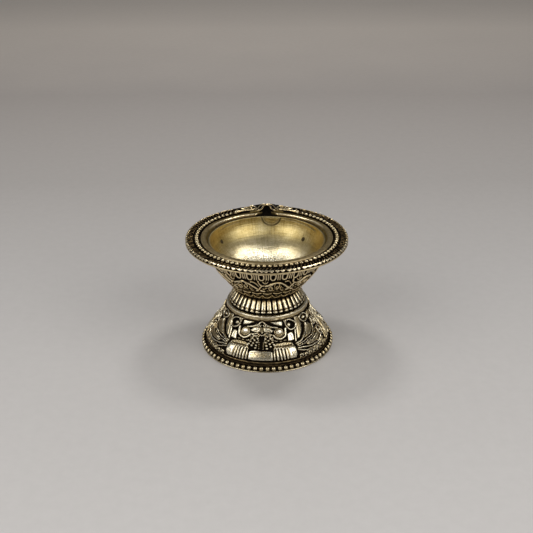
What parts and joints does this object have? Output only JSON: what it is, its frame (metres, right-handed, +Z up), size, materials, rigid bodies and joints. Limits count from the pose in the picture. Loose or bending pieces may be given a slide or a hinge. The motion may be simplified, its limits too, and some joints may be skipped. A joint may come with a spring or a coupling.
{
  "type": "diya oil lamp",
  "caption": "Footed brass oil lamp: a round cup with flared beaded rim, polished liner and wick spout, screwed onto a flared hollow pedestal with a fluted neck and beaded foot.",
  "frame": {"origin": "centre of the foot plane, on the lamp's vertical axis", "axes": "+Z up along the lamp's axis, +Y towards the wick spout, +X to the right when the spout points away"},
  "size_m": [0.064, 0.0664, 0.047],
  "materials": {
    "antique_brass": "cast, antiqued, dark patina in the recesses and rubbed bright on the high points",
    "polished_brass": "turned and polished with fine circular brushing",
    "plain_brass": "machined, lightly tarnished"
  },
  "bodies": {
    "pedestal": {"base": "antique_brass", "foot_beads": "antique_brass", "neck_collar": "antique_brass"},
    "washer": {"bowl_washer": "plain_brass"},
    "bowl": {"bowl": "antique_brass", "rim_beads": "antique_brass", "oil_cup": "polished_brass", "wick_rest": "polished_brass", "cup_pins": "plain_brass", "bowl_stud": "plain_brass"}
  },
  "joints": [
    {"name": "bowl_lift", "type": "slide", "parent": "pedestal", "child": "washer", "axis": [0, 0, 1], "range_m": [0, 0.00594]},
    {"name": "bowl_turn", "type": "hinge", "parent": "washer", "child": "bowl", "pos_m": [0, 0, 0.0255], "axis": [0, 0, 1], "range_deg": [0, 1710]}
  ],
  "couplings": [
    {"joint": "bowl_lift", "follows": "bowl_turn", "m_per_rad": 0.00019894}
  ]
}
